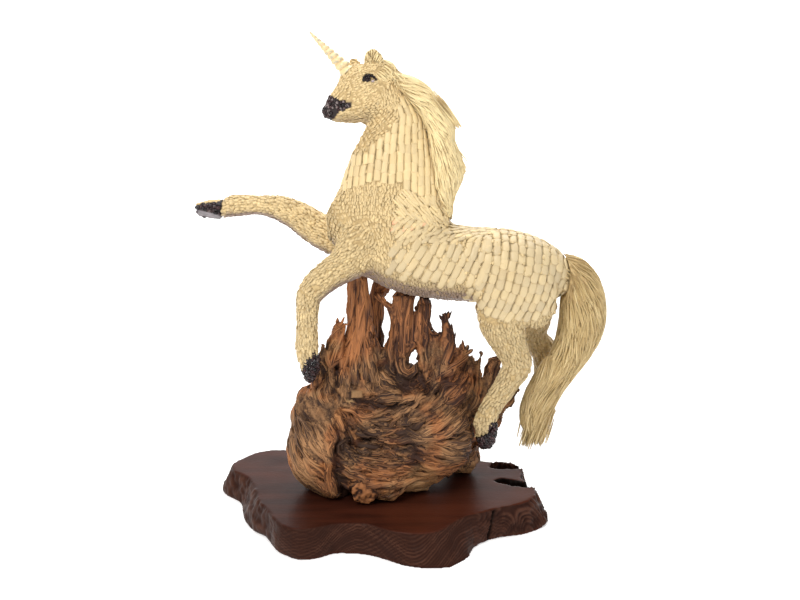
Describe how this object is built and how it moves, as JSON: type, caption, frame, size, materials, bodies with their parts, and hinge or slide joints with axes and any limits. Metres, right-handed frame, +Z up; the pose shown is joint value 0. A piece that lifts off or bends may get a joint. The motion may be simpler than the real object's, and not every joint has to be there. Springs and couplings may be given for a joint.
{
  "type": "unicorn sculpture faced with seashells",
  "caption": "Rearing unicorn faced with cream seashells, with a spiral shell horn and dark hooves, carried by driftwood prongs on a dark live-edge wooden slab.",
  "frame": {"origin": "middle of the slab's flat underside", "axes": "+Z up; X along the slab, with the unicorn facing -X; -Y is the side of the unicorn's left flank and the slab's carved-looking front edge"},
  "size_m": [0.476, 0.2592, 0.5604],
  "materials": {
    "dark_wood": "satin",
    "driftwood": "matte",
    "shell_facing": "satin",
    "shell_slivers": "satin",
    "horn_shell": "satin",
    "dark_shell": "gloss",
    "eye_beads": "gloss"
  },
  "bodies": {
    "root": {"base_slab": "dark_wood", "driftwood_burl": "driftwood", "unicorn_body": "shell_facing", "mane": "shell_slivers", "tail": "shell_slivers", "horn": "horn_shell", "hoof_fore_left": "dark_shell", "hoof_fore_right": "dark_shell", "hoof_hind_left": "dark_shell", "hoof_hind_right": "dark_shell", "eye_left": "eye_beads", "eye_right": "eye_beads"}
  },
  "joints": []
}
